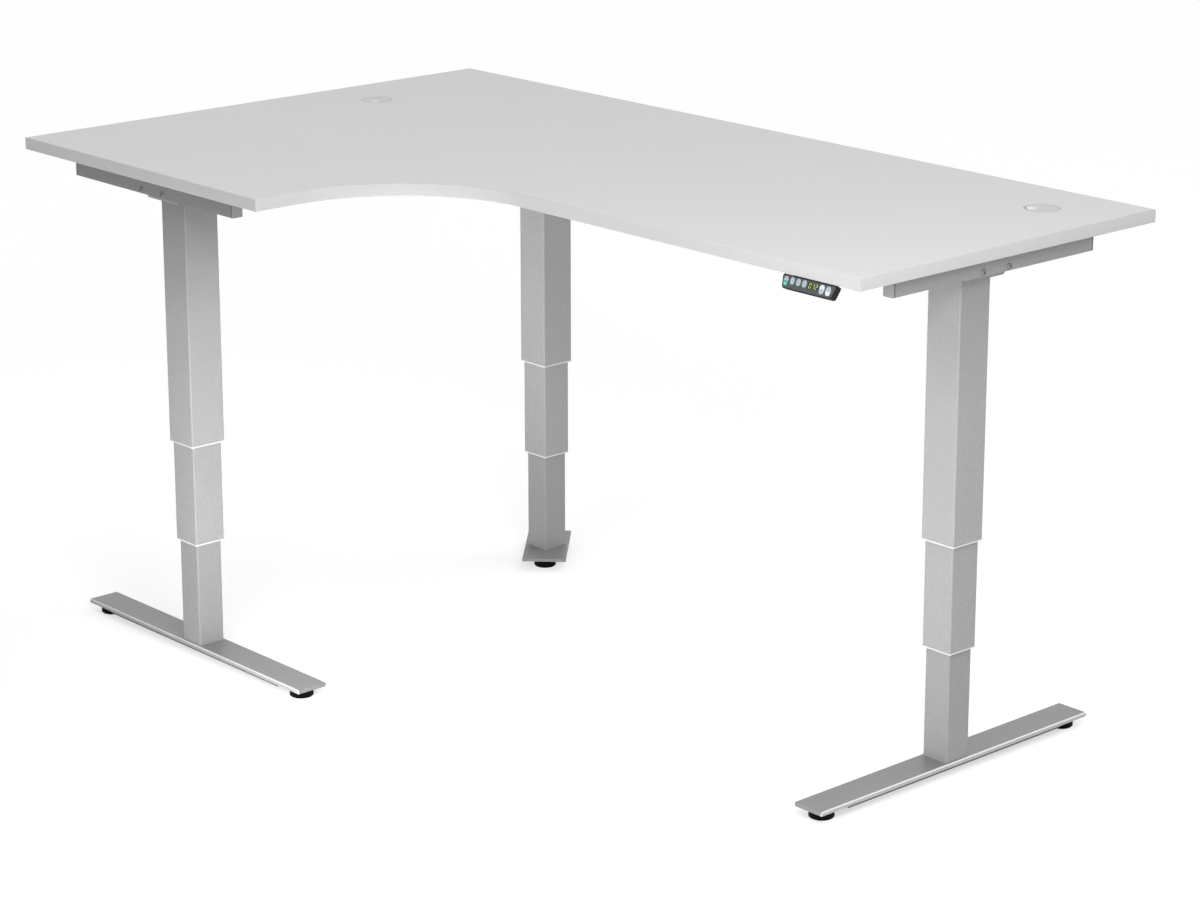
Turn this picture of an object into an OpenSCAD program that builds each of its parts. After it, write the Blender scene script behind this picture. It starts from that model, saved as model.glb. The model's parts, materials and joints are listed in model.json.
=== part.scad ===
// Electric sit-stand corner desk on three telescopic columns, in millimetres.
// Origin: on the floor, under the middle of the worktop's overall rectangle.
// X runs along the long back edge, Y towards the back, Z up.

/* [Worktop] */
// Overall width, along the back edge
top_w = 2000; // [1700:10:2400]
// Overall depth, along the left edge
top_d = 1200; // [1120:10:1600]
// Width of the left arm at its front end
arm_left = 800; // [720:10:900]
// Depth of the right arm at its right end
arm_right = 800; // [760:10:800]
// Radius of the concave inner edge
inner_r = 300; // [150:10:320]
// Thickness of the board
top_t = 25; // [22:1:38]
// Thickness of the edge band
band_t = 2; // [0.8:0.2:3]
// Height of the work surface above the floor, as set
desk_h = 1030; // [660:10:1280]

/* [Columns] */
// Side of the square outer tube
outer_s = 80; // [76:1:90]
// Wall of every column tube
tube_t = 2.5; // [1.5:0.1:3]
// Outside corner radius of the column tubes
tube_r = 3; // [2:0.5:5]
// Thickness of the plastic guides between two tubes
guide_t = 2.2; // [1.5:0.1:3]
// Running gap between a guide and the tube it slides on
slide_gap = 0.3; // [0.2:0.05:0.5]
// Length of the outer tube
outer_l = 544; // [520:2:600]
// Height of the collar at the lower end of a tube
ring_t = 2.5; // [2:0.5:8]
// How far a collar stands proud of its tube
ring_lip = 0.5; // [0.2:0.1:1]
// Middle tube left showing when the column is fully down
gap_mid_min = 16; // [5:1:30]
// Lower tube left showing when the column is fully down
gap_low_min = 23; // [5:1:30]
// Length of the sliding guide at the top of a tube
guide_l = 60; // [40:1:80]
// Thickness of the guide's end plate
lip_t = 2; // [1.5:0.5:3]
// Height of the spindle nut
nut_h = 25; // [15:1:30]
// Free space left between the inner parts when fully down
stop_gap = 3; // [2:0.5:5]
// Left leg: centre of the column from the left edge
leg_in_left = 450; // [444:1:470]
// Right leg: centre of the column from the back edge
leg_in_right = 442; // [438:1:460]
// Side legs: centre of the column from the end edge
leg_end = 92; // [88:1:120]
// Corner leg: centre of the column from the left edge
corner_x = 462; // [452:1:468]
// Corner leg: centre of the column from the back edge
corner_y = 174; // [166:1:174]

/* [Drive] */
// Length of the motor with its gear housing
motor_l = 95; // [85:1:105]
// Side of the square gear housing
motor_s = 66; // [56:1:66]
// Diameter of the motor can
can_d = 58; // [40:1:60]
// Diameter of the spindle
spindle_d = 16; // [12:1:18]
// Diameter of the stop collar at the spindle's lower end
collar_d = 22; // [20:1:24]
// Diameter of the motor's output shaft
shaft_d = 10; // [8:0.5:11]
// Radial clearance of a shaft in its bore
shaft_gap = 0.1; // [0.05:0.01:0.1]

/* [Feet] */
// Length of a side foot
foot_l = 740; // [680:10:800]
// Width of a side foot
foot_w = 70; // [66:1:90]
// Thickness of a side foot
foot_t = 8; // [7:0.5:12]
// Radius on the upper edges of a foot
foot_r = 3; // [1:0.5:4]
// Gap between a glide's rim and the end of the stiffening bar
bar_gap = 10; // [5:1:30]
// Width of the stiffening bar
bar_w = 60; // [40:1:64]
// Thickness of the stiffening bar
bar_t = 6; // [4:0.5:8]
// Length of the corner foot
corner_foot_l = 206; // [200:2:260]
// Width of the corner foot
corner_foot_w = 97; // [90:1:120]
// Thickness of the corner foot
corner_foot_t = 6.5; // [6:0.5:9]
// Height of a foot's underside above the floor
glide_h = 19.5; // [17:0.5:22]
// Diameter of a levelling glide
glide_d = 48; // [30:1:54]
// Height of a levelling glide's pad
pad_h = 15; // [8:0.5:16]
// Diameter of a levelling glide's threaded stud
stud_d = 8; // [6:1:10]
// Centre of a glide from the end of a side foot
glide_end = 36; // [30:1:40]
// Centre of a glide from the middle of the corner foot
glide_mid = 62; // [50:1:70]

/* [Head brackets and rails] */
// Sheet thickness of the head brackets
head_t = 3; // [2:0.5:5]
// Length of a head bracket's upright plate
plate_l = 106; // [104:1:140]
// Height of a head bracket's upright plate
plate_h = 48; // [45:1:60]
// Centre of a support rail from the outer or back edge
rail_in = 420; // [412:1:424]
// Length of a support rail
rail_l = 540; // [530:10:600]
// Width of a support rail
rail_w = 25; // [20:1:30]
// Height of a support rail
rail_h = 35; // [30:1:40]
// Wall of the support rails and beams
rail_t = 2; // [1.5:0.5:3]
// Visible flange of a rail's end cap
cap_t = 2; // [1:0.5:3]
// Length of the recessed seam between a rail and its end cap
seam_l = 2; // [0.5:0.5:3]
// Distance between the two bolts of a rail
bolt_span = 70; // [68:1:76]
// Height of the bolts above the rail's lower edge
bolt_up = 8.5; // [8:0.5:14]
// Diameter of a frame bolt
bolt_d = 8; // [6:0.5:8]
// Diameter of a frame bolt's domed head
bolt_head_d = 14; // [12:0.5:15]
// Width of the cross beams
beam_w = 30; // [24:1:30]
// Back beam: centre in front of the corner column's centre
beam_shift = 25; // [23:1:25]
// Thickness of a beam's end flange
flange_t = 3; // [2:0.5:5]
// Width of a beam's end flange
flange_w = 64; // [60:1:64]
// Diameter of a beam bolt
beam_bolt_d = 6; // [5:0.5:6]
// Diameter of a beam bolt's domed head
beam_head_d = 10.5; // [9:0.5:11]
// Distance between the two bolts of a beam flange
beam_bolt_span = 48; // [46:1:50]
// Diameter of a wood screw
screw_d = 4; // [3:0.5:5]
// Diameter of a wood screw's head
screw_head_d = 8.5; // [7.5:0.5:9]
// Depth of a wood screw in the board
screw_in = 14; // [10:1:16]

/* [Control box] */
// Length of the control box
box_l = 260; // [240:5:300]
// Depth of the control box
box_d = 110; // [90:5:130]
// Height of the control box
box_h = 38; // [34:1:45]
// Centre of the control box from the left edge
box_x = 1150; // [900:10:1300]
// Centre of the control box from the back edge
box_y = 340; // [320:5:400]
// Thickness of the box's mounting ears
ear_t = 3; // [2:0.5:4]

/* [Cable grommets] */
// Diameter of the grommet's flange
grommet_d = 70; // [66:1:80]
// Diameter of the hole in the board
grommet_hole = 60; // [54:1:60]
// Wall of the grommet sleeve
sleeve_t = 1.5; // [1:0.5:2]
// Depth of the flange's recess in the board
flange_depth = 3; // [2.5:0.5:4]
// Thickness of the turning cap
grommet_cap_t = 1.7; // [1.2:0.1:2]
// Width of the cable slot in the cap
slot_w = 18; // [12:1:20]
// Left grommet: centre from the left edge
grommet_left_x = 160; // [120:5:220]
// Left grommet: centre from the back edge
grommet_left_y = 400; // [300:5:500]
// Right grommet: centre from the right edge
grommet_right_x = 150; // [120:5:220]
// Right grommet: centre from the back edge
grommet_right_y = 150; // [100:5:150]

/* [Handset] */
// Centre of the handset from the right edge
handset_in = 120; // [90:5:130]
// Width of the handset along the board's edge
handset_w = 132; // [132:1:150]
// Height of the handset's face
face_h = 26; // [25:0.5:30]
// How far the face leans back from upright, in degrees
face_tilt = 23; // [15:1:30]
// Depth of the handset's shell, square to the face
shell_d = 12; // [8:0.5:14]
// Width of the mounting block behind the shell
block_w = 84; // [80:1:100]
// Inward slope of each side of the face
side_taper = 6; // [3:1:7]
// Border around the face panel
border = 2; // [1.5:0.5:2]
// Thickness of the face panel
panel_t = 0.8; // [0.6:0.1:1.5]
// How far the keys stand out of the panel
key_up = 0.9; // [0.8:0.1:1.5]
// Travel of a key
key_travel = 0.6; // [0.4:0.1:0.7]
// Gap around a key
key_gap = 0.3; // [0.2:0.05:0.35]
// Width of a memory key
key_w = 9.5; // [8:0.5:9.5]
// Length of a memory key
key_l = 13; // [11:0.5:13]
// Width of an up or down key
drive_key_w = 11; // [9:0.5:12]
// Length of an up or down key
drive_key_l = 17; // [14:0.5:17]

/* [Hidden] */

// Facets of a full circle, and how far a cut runs past a surface
fine = 48;
over = 1;

// Colours
silver = [0.72, 0.73, 0.74];
collar_grey = [0.86, 0.87, 0.88];
board_grey = [0.84, 0.84, 0.84];
black = [0.06, 0.06, 0.06];
steel = [0.55, 0.56, 0.58];
key_grey = [0.66, 0.72, 0.76];
key_teal = [0.24, 0.76, 0.66];
key_pale = [0.84, 0.90, 0.95];

// Edges of the worktop's rectangle, and the corner where its arms meet
left_x = -top_w / 2;
right_x = top_w / 2;
front_y = -top_d / 2;
back_y = top_d / 2;
notch_x = left_x + arm_left;
notch_y = back_y - arm_right;

// Each inner tube follows from the tube around it
mid_s = outer_s - 2 * (tube_t + slide_gap + guide_t);
low_s = mid_s - 2 * (tube_t + slide_gap + guide_t);
tube_ir = max(0.5, tube_r - tube_t);
guide_r = tube_ir + 1;
spigot_h = 20;
mid_l = outer_l - motor_l - stop_gap - lip_t + gap_mid_min;
low_l = mid_l - nut_h - stop_gap - lip_t + ring_t + gap_low_min;

// Levels above the floor
z_under = desk_h - top_t;
z_head = z_under - head_t;
z_outer = z_head - outer_l;
z_motor = z_head - motor_l;
z_foot = glide_h + foot_t;
stage = (z_outer - ring_t - z_foot - gap_mid_min - gap_low_min) / 2;
z_mid = z_foot + gap_low_min + stage + ring_t;

// Plate welded inside the lower end of a lower tube, and the screws that hold it to the foot
base_t = 6;
base_bolt_d = 6;
base_bolt_at = 17;
base_bolt_gap = 0.3;
base_head_d = 10;
base_head_h = 4;
bar_hole_d = 14;

// Spindle: it ends just above the base plate when the column is fully down
spindle_end = 12;
spindle_l = outer_l - motor_l + gap_mid_min + gap_low_min + ring_t - base_t - spindle_end;
shank_l = 18;
stop_h = 6;
nut_d = 30;

// Motor housing
flange_h = 6;
gear_h = 40;

// Turn of the corner foot about its column
corner_turn = -45;

// Blind bores for the glide studs
foot_skin = 1.5;
stud_top = z_foot - foot_skin - 1;

// Column axes
left_leg = [left_x + leg_in_left, front_y + leg_end];
right_leg = [right_x - leg_end, back_y - leg_in_right];
corner_leg = [left_x + corner_x, back_y - corner_y];

// Support rails: along the leg's own x, on its -y side
left_shift = rail_in - leg_in_left;
right_shift = leg_in_right - rail_in;
plate_y = -outer_s / 2 - head_t;
rail_y = plate_y - rail_w / 2;
rail_r = 2;
bend_r = head_t / 2;
plate_r = 6;
bolt_z = z_under - rail_h + bolt_up;
bolt_hole_gap = 0.2;
bolt_end = 1;
nut_af = 13;
nut_t = 6.5;
plug_l = 12;
seam_in = 1.5;
plug_in = rail_t + 0.15;

// Wood screws
tab_w = 25;
screw_edge = 9;
screw_head_h = 2.5;
screw_hole_d = screw_d + 1;
screw_access_d = screw_head_d + 4;
rail_screws = [-rail_l / 2 + 40, -rail_l / 4 + 15, rail_l / 4 - 15, rail_l / 2 - 40];

// Cross beams, under the head brackets
beam_h = rail_h - head_t;
beam_z = z_head - beam_h / 2;
side_beam_x = (left_leg.x + corner_leg.x) / 2;
side_beam_y = [left_leg.y + outer_s / 2, corner_leg.y - outer_s / 2];
back_beam_y = corner_leg.y - beam_shift;
back_beam_x = [corner_leg.x + outer_s / 2, right_leg.x - plate_y];
corner_bolts = [for (y = [8, 28]) corner_leg.y + y];
flange = [-flange_w / 2, flange_w / 2];
flange_bolts = [-beam_bolt_span / 2, beam_bolt_span / 2];
corner_flange = [corner_leg.y - outer_s / 2 + 1, corner_leg.y + outer_s / 2 - 1];
beam_bolt_out = 2;
corner_plate = 150;
corner_screw = 62;

// Control box
box_pos = [left_x + box_x, back_y - box_y];
box_r = 6;
lid_h = 12;
lid_in = 1;
ear_l = 18;
ear_w = 24;
ear_y = 30;
// sockets in its rear face: middle, width and height
socket_depth = 10;
sockets = [[-90, 16, 10], [-62, 16, 10], [-34, 16, 10], [-4, 12, 10]];
inlet = [28, 20];
inlet_r = 3;
inlet_x = 70;
contact = [2, socket_depth / 2, 4];
contacts = [[-8, -4], [6, -4], [-1, 1]];

// Grommets
grommets = [
    [left_x + grommet_left_x, back_y - grommet_left_y],
    [right_x - grommet_right_x, back_y - grommet_right_y]
];
slot_angles = [-42, 228];
sleeve_ir = grommet_hole / 2 - sleeve_t;
sleeve_up = 2;
seat_r = grommet_d / 2 - 3;
cap_gap = 0.3;
cap_lift = 0.1;
skirt_h = 6;
slot_in = 14;

// Handset: local x along the edge, y up the face, z out of it
handset_pos = [right_x - handset_in, notch_y, z_under];
face_corner = [4, 4, 7, 7];
block_d = 46;
block_side = [[2, 0], [block_d, 0], [block_d, -9], [24, -10], [5, -24], [-5, -19]];
block_r = [0.5, 1, 2, 6, 3, 1];
lead_socket = [12, 8, 6];
lead_skin = 1.5;
handset_ear = 3;
handset_screw = [30, 36];
key_in = 3;
key_floor = key_in + key_travel + 0.4;
long_key_v = -12.3;
memory_v = -9.8;
memory_x = [-39.3, -24.7, -10.1];
save_x = -54.5;
save_l = 17;
drive_x = [32.9, 48.3];

// Every wood screw: its place, and the height of the face that its head bears on
function bracket_x(shift) = [min(shift - plate_l / 2, -outer_s / 2), max(shift + plate_l / 2, outer_s / 2)];
function tab_screws(shift) = [
    for (x = bracket_x(shift) + [screw_edge, -screw_edge]) [x, outer_s / 2 + tab_w / 2]
];
function from_left(p, z) = [left_leg.x + p.x, left_leg.y + p.y, z];
function from_right(p, z) = [right_leg.x - p.y, right_leg.y + p.x, z];
screws = [
    for (x = rail_screws) each [
        from_left([left_shift + x, rail_y], z_under - rail_t),
        from_right([right_shift + x, rail_y], z_under - rail_t)
    ],
    for (p = tab_screws(left_shift)) from_left(p, z_head),
    for (p = tab_screws(right_shift)) from_right(p, z_head),
    for (x = [-1, 1], y = [-1, 1]) each [
        [corner_leg.x + x * corner_screw, corner_leg.y + y * corner_screw, z_head],
        [box_pos.x + x * (box_l + ear_l) / 2, box_pos.y + y * ear_y, z_under - ear_t]
    ],
    for (x = [-1, 1])
        [handset_pos.x + x * handset_screw.x, handset_pos.y + handset_screw.y, z_under - handset_ear]
];

// ---- outlines -------------------------------------------------------------

function unit(v) = v / norm(v);
function turn(a) = a > 180 ? a - 360 : a < -180 ? a + 360 : a;

// Points of the arc of radius r that rounds corner b between a and c
function corner_arc(a, b, c, r, n) =
    let (u = unit(a - b), v = unit(c - b), half = acos(u * v) / 2)
    let (o = b + unit(u + v) * r / sin(half), p = b + u * r / tan(half), q = b + v * r / tan(half))
    let (start = atan2(p.y - o.y, p.x - o.x), by = turn(atan2(q.y - o.y, q.x - o.x) - start))
    [for (i = [0 : n]) o + r * [cos(start + by * i / n), sin(start + by * i / n)]];

function round_poly(p, r, n = 6) = [
    for (i = [0 : len(p) - 1])
        each corner_arc(p[(i + len(p) - 1) % len(p)], p[i], p[(i + 1) % len(p)], r[i], n)
];

// Centred rectangle with round corners
module round_rect(w, d, r) {
    square([w - 2 * r, d], center = true);
    square([w, d - 2 * r], center = true);
    for (x = [-1, 1], y = [-1, 1])
        translate([x * (w / 2 - r), y * (d / 2 - r)]) circle(r = r, $fn = fine);
}

// Upright rectangle with half-round ends
module pill(w, l) {
    square([w, l - w], center = true);
    for (y = [-1, 1]) translate([0, y * (l - w) / 2]) circle(d = w, $fn = fine);
}

// Worktop outline, drawn in by i all round
module top_outline(i) {
    difference() {
        translate([left_x + i, front_y + i]) square([top_w - 2 * i, top_d - 2 * i]);
        translate([notch_x - i, front_y - over]) square([top_w, notch_y + i - front_y + over]);
    }
    difference() {
        translate([notch_x - i - over, notch_y - inner_r])
            square([inner_r + i + over, inner_r + i + over]);
        translate([notch_x + inner_r, notch_y - inner_r]) circle(r = inner_r + i, $fn = 4 * fine);
    }
}

module tube_outline(side) {
    difference() {
        round_rect(side, side, tube_r);
        round_rect(side - 2 * tube_t, side - 2 * tube_t, tube_ir);
    }
}

// Section of a flat bar whose two upper edges are rounded
module bar_section(w, t) {
    translate([-w / 2, 0]) square([w, t - foot_r]);
    translate([-w / 2 + foot_r, 0]) square([w - 2 * foot_r, t]);
    for (x = [-1, 1]) translate([x * (w / 2 - foot_r), t - foot_r]) circle(r = foot_r, $fn = fine);
}

// ---- placing --------------------------------------------------------------

module at_left() {
    translate([left_leg.x, left_leg.y, 0]) children();
}

module at_corner() {
    translate([corner_leg.x, corner_leg.y, 0]) children();
}

module at_right() {
    translate([right_leg.x, right_leg.y, 0]) rotate([0, 0, 90]) children();
}

module at_handset() {
    translate(handset_pos) rotate([90 - face_tilt, 0, 0]) children();
}

// Stands a drawing up so that its extrusion runs along +x, and along -y
module along_x() {
    rotate([90, 0, 90]) children();
}

module along_y() {
    rotate([90, 0, 0]) children();
}

// ---- feet -----------------------------------------------------------------

// The four screws between a column and its foot, or their holes
module base_bolts(d, z, h) {
    for (x = [-1, 1], y = [-1, 1])
        translate([x * base_bolt_at, y * base_bolt_at, z]) cylinder(d = d, h = h, $fn = fine);
}

// Flat foot with its top at z_foot and blind bores for the glides at x = +-glide_x,
// turned by angle a about the column
module foot(l, w, t, glide_x, a = 0) {
    color(silver) difference() {
        rotate([0, 0, a]) translate([0, 0, z_foot - t]) intersection() {
            along_x() linear_extrude(l, center = true) bar_section(w, t);
            along_y() linear_extrude(w, center = true) bar_section(l, t);
            linear_extrude(t) round_rect(l, w, foot_r);
        }
        for (x = [-1, 1])
            rotate([0, 0, a]) translate([x * glide_x, 0, z_foot - t - over])
                cylinder(d = stud_d + 2 * shaft_gap, h = t + over - foot_skin, $fn = fine);
        base_bolts(base_bolt_d + 2 * base_bolt_gap, z_foot - t - over, t + 2 * over);
    }
}

module side_foot() {
    foot(foot_l, foot_w, foot_t, foot_l / 2 - glide_end);
}

// The corner foot lies diagonally across the corner
module corner_foot() {
    foot(corner_foot_l, corner_foot_w, corner_foot_t, glide_mid, corner_turn);
}

// Stiffening bar under a side foot, its ends sloped
module foot_bar() {
    l = foot_l - 2 * (glide_end + glide_d / 2 + bar_gap);
    color(steel) difference() {
        along_y() linear_extrude(bar_w, center = true)
            polygon([
                [-l / 2, glide_h], [l / 2, glide_h],
                [l / 2 - bar_t, glide_h - bar_t], [-l / 2 + bar_t, glide_h - bar_t]
            ]);
        base_bolts(bar_hole_d, glide_h - bar_t - over, bar_t + 2 * over);
    }
}

// Levelling glide: a pad on the floor with its stud up in the foot
module glide(x) {
    rim = glide_d / 2;
    stud = stud_d / 2;
    color(black) translate([x, 0, 0]) rotate_extrude($fn = fine)
        polygon([
            [0, 0], [rim - 2, 0], [rim, 2], [rim, pad_h - 3], [rim - 1.5, pad_h - 1],
            [stud + 4, pad_h], [stud, pad_h], [stud, stud_top], [0, stud_top]
        ]);
}

module side_glide(side) {
    glide(side * (foot_l / 2 - glide_end));
}

module corner_glide(side) {
    rotate([0, 0, corner_turn]) glide(side * glide_mid);
}

// ---- columns, about their own axis ----------------------------------------

// Lower tube with its base plate and the screws that hold the foot of thickness t
module lower_tube(t) {
    color(silver) {
        translate([0, 0, z_foot]) linear_extrude(low_l) tube_outline(low_s);
        translate([0, 0, z_foot]) linear_extrude(base_t)
            round_rect(low_s - 2 * tube_t, low_s - 2 * tube_t, tube_ir);
        base_bolts(base_bolt_d, z_foot - t, t + base_t);
        base_bolts(base_head_d, z_foot - t - base_head_h, base_head_h);
    }
}

// Plastic guide over the top of a tube of the given side, running inside the next tube
module guide(side, z_top, hole_d) {
    difference() {
        translate([0, 0, z_top - guide_l]) linear_extrude(guide_l + lip_t)
            round_rect(side + 2 * guide_t, side + 2 * guide_t, guide_r);
        translate([0, 0, z_top - guide_l - over]) linear_extrude(guide_l + over)
            round_rect(side, side, tube_r);
        translate([0, 0, z_top - over]) cylinder(d = hole_d, h = lip_t + 2 * over, $fn = fine);
    }
}

module lower_guide() {
    color(collar_grey) guide(low_s, z_foot + low_l, collar_d + 4);
}

module middle_tube() {
    color(silver) translate([0, 0, z_mid]) linear_extrude(mid_l) tube_outline(mid_s);
}

// Guide of the middle tube, with the spindle nut hanging inside the tube
module middle_nut() {
    top = z_mid + mid_l;
    bore = spindle_d + 2 * shaft_gap;
    color(collar_grey) difference() {
        union() {
            guide(mid_s, top, bore);
            translate([0, 0, top - nut_h]) cylinder(d = nut_d, h = nut_h + lip_t / 2, $fn = fine);
        }
        translate([0, 0, top - nut_h - over])
            cylinder(d = bore, h = nut_h + lip_t + 2 * over, $fn = fine);
    }
}

// Collar at the lower end of a tube: a visible frame, and a spigot up inside the tube
module collar(side, z_end) {
    inner = side - 2 * (tube_t + guide_t);
    color(collar_grey) difference() {
        union() {
            translate([0, 0, z_end - ring_t]) linear_extrude(ring_t)
                round_rect(side + 2 * ring_lip, side + 2 * ring_lip, tube_r + ring_lip);
            translate([0, 0, z_end]) linear_extrude(spigot_h)
                round_rect(side - 2 * tube_t, side - 2 * tube_t, tube_ir);
        }
        translate([0, 0, z_end - ring_t - over]) linear_extrude(ring_t + spigot_h + 2 * over)
            round_rect(inner, inner, tube_r + slide_gap);
    }
}

module middle_collar() {
    collar(mid_s, z_mid);
}

// Holes of the given diameter through a wall that faces -y, at [x, z]
module wall_holes(places, d, y, t) {
    for (p = places)
        translate([p.x, y + t + over, p.y]) along_y() cylinder(d = d, h = t + 2 * over, $fn = fine);
}

// Outer tube, with bolt holes given as lists of [x, z] in its -y and its +y face
module outer_tube(front_holes, front_d, rear_holes) {
    color(silver) difference() {
        translate([0, 0, z_outer]) linear_extrude(outer_l) tube_outline(outer_s);
        wall_holes(front_holes, front_d + 2 * bolt_hole_gap, -outer_s / 2, tube_t);
        wall_holes(rear_holes, beam_bolt_d + 2 * bolt_hole_gap, outer_s / 2 - tube_t, tube_t);
    }
}

module spindle() {
    color(steel) {
        translate([0, 0, z_motor - spindle_l])
            cylinder(d = spindle_d, h = spindle_l - slide_gap, $fn = fine);
        translate([0, 0, z_motor - spindle_l]) cylinder(d = collar_d, h = stop_h, $fn = fine);
        translate([0, 0, z_motor - slide_gap - over]) cylinder(d = shaft_d, h = shank_l, $fn = fine);
    }
}

// Motor: top flange, round can, and a square gear housing with the hollow output shaft
module motor() {
    color(steel) difference() {
        union() {
            translate([0, 0, z_head - flange_h]) linear_extrude(flange_h)
                round_rect(motor_s, motor_s, plate_r);
            translate([0, 0, z_motor]) linear_extrude(gear_h) round_rect(motor_s, motor_s, plate_r);
            translate([0, 0, z_motor + gear_h - over])
                cylinder(d = can_d, h = motor_l - gear_h - flange_h + 2 * over, $fn = fine);
        }
        translate([0, 0, z_motor - over])
            cylinder(d = shaft_d + 2 * shaft_gap, h = shank_l + 2 * over, $fn = fine);
    }
}

// ---- head brackets, rails and beams ---------------------------------------

function rail_bolts(shift) = [for (x = [-1, 1]) [shift + x * bolt_span / 2, bolt_z]];
function near_bolts(shift) = [for (p = rail_bolts(shift)) if (abs(p.x) < outer_s / 2) p];
function far_bolts(shift) = [for (p = rail_bolts(shift)) if (abs(p.x) >= outer_s / 2) p];

// Bent sheet: a plate over the column, and an upright between the column and the rail
module head_bracket(shift) {
    ends = bracket_x(shift);
    color(silver) difference() {
        union() {
            translate([ends[0], -outer_s / 2, z_head]) cube([ends[1] - ends[0], outer_s + tab_w, head_t]);
            translate([shift, 0, 0]) along_x() linear_extrude(plate_l, center = true)
                translate([plate_y, z_under]) {
                    translate([0, -plate_h]) square([head_t, plate_h - bend_r]);
                    translate([bend_r, -bend_r]) square([head_t - bend_r, bend_r]);
                    intersection() {
                        translate([0, -bend_r]) square(bend_r);
                        translate([bend_r, -bend_r]) circle(r = bend_r, $fn = fine);
                    }
                }
        }
        translate([shift, -outer_s / 2 + over, z_under - plate_h / 2]) along_y()
            linear_extrude(head_t + 2 * over) difference() {
                translate([-plate_l / 2 - over, -plate_h / 2 - over])
                    square([plate_l + 2 * over, plate_h / 2 + over]);
                round_rect(plate_l, plate_h, plate_r);
            }
        wall_holes(rail_bolts(shift), bolt_d + 2 * bolt_hole_gap, plate_y, head_t);
        for (p = tab_screws(shift))
            translate([p.x, p.y, z_head - over])
                cylinder(d = screw_hole_d, h = head_t + 2 * over, $fn = fine);
    }
}

module corner_head_bracket() {
    color(silver) difference() {
        translate([0, 0, z_head]) linear_extrude(head_t) round_rect(corner_plate, corner_plate, plate_r);
        for (x = [-1, 1], y = [-1, 1])
            translate([x * corner_screw, y * corner_screw, z_head - over])
                cylinder(d = screw_hole_d, h = head_t + 2 * over, $fn = fine);
    }
}

// Hollow rail under the board, screwed up into it through its lower wall
module rail(shift) {
    color(silver) difference() {
        translate([shift, rail_y, z_under - rail_h / 2]) along_x()
            linear_extrude(rail_l - 2 * (cap_t + seam_l), center = true) difference() {
                round_rect(rail_w, rail_h, rail_r);
                square([rail_w - 2 * rail_t, rail_h - 2 * rail_t], center = true);
            }
        wall_holes(rail_bolts(shift), bolt_d + 2 * bolt_hole_gap, plate_y - rail_w, rail_w);
        for (x = rail_screws) translate([shift + x, rail_y, 0]) {
            translate([0, 0, z_under - rail_t - over])
                cylinder(d = screw_hole_d, h = rail_t + 2 * over, $fn = fine);
            translate([0, 0, z_under - rail_h - over])
                cylinder(d = screw_access_d, h = rail_t + 2 * over, $fn = fine);
        }
    }
}

module right_rail() {
    difference() {
        at_right() rail(right_shift);
        for (y = [-1, 1])
            translate([back_beam_x[1] - over, back_beam_y + y * beam_bolt_span / 2, beam_z])
                rotate([0, 90, 0])
                    cylinder(d = beam_bolt_d + 2 * bolt_hole_gap, h = rail_t + 2 * over, $fn = fine);
    }
}

// The two end caps of a rail: a flange, a recessed seam against the rail's end, and a plug inside
module end_caps(shift) {
    color(collar_grey) for (side = [-1, 1])
        translate([shift + side * (rail_l / 2 - cap_t), rail_y, z_under - rail_h / 2])
            mirror([side < 0 ? 1 : 0, 0, 0]) along_x() {
                linear_extrude(cap_t) round_rect(rail_w, rail_h, rail_r);
                translate([0, 0, -seam_l]) linear_extrude(seam_l + over)
                    round_rect(rail_w - 2 * seam_in, rail_h - 2 * seam_in, rail_r - seam_in);
                translate([0, 0, -plug_l]) linear_extrude(plug_l)
                    square([rail_w - 2 * plug_in, rail_h - 2 * plug_in], center = true);
            }
}

module rail_end_caps() {
    at_left() end_caps(left_shift);
    at_right() end_caps(right_shift);
}

// Beam of length l along +x from the origin, with an end flange [from, to] at each end
module beam(l, near, far, near_bolt_y, far_bolt_y) {
    color(silver) translate([0, 0, beam_z]) difference() {
        union() {
            along_x() linear_extrude(l) difference() {
                round_rect(beam_w, beam_h, rail_r);
                square([beam_w - 2 * rail_t, beam_h - 2 * rail_t], center = true);
            }
            translate([0, near[0], -beam_h / 2]) cube([flange_t, near[1] - near[0], beam_h]);
            translate([l - flange_t, far[0], -beam_h / 2]) cube([flange_t, far[1] - far[0], beam_h]);
        }
        for (y = near_bolt_y) translate([-over, y, 0]) rotate([0, 90, 0])
            cylinder(d = beam_bolt_d + 2 * bolt_hole_gap, h = flange_t + 2 * over, $fn = fine);
        for (y = far_bolt_y) translate([l + over, y, 0]) rotate([0, -90, 0])
            cylinder(d = beam_bolt_d + 2 * bolt_hole_gap, h = flange_t + 2 * over, $fn = fine);
    }
}

module side_beam() {
    translate([side_beam_x, side_beam_y[0], 0]) rotate([0, 0, 90])
        beam(side_beam_y[1] - side_beam_y[0], flange, flange, flange_bolts, flange_bolts);
}

module back_beam() {
    at_corner_face = corner_flange - [back_beam_y, back_beam_y];
    bolts = corner_bolts - [back_beam_y, back_beam_y];
    translate([back_beam_x[0], back_beam_y, 0])
        beam(back_beam_x[1] - back_beam_x[0], at_corner_face, flange, bolts, flange_bolts);
}

// Domed bolt with a hexagon socket: head below z = 0, shank up to z = l
module bolt(d, head_d, l) {
    h = 0.3 * head_d;
    dome = (head_d * head_d / 4 + h * h) / (2 * h);
    reach = asin(head_d / 2 / dome);
    difference() {
        union() {
            rotate_extrude($fn = fine)
                polygon([
                    [0, 0],
                    for (i = [0 : 6]) [dome * sin(reach * i / 6), dome - h - dome * cos(reach * i / 6)]
                ]);
            cylinder(d = d, h = l, $fn = fine);
        }
        translate([0, 0, -h - over]) cylinder(d = 0.6 * d, h = 0.7 * h + over, $fn = 6);
    }
}

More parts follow.
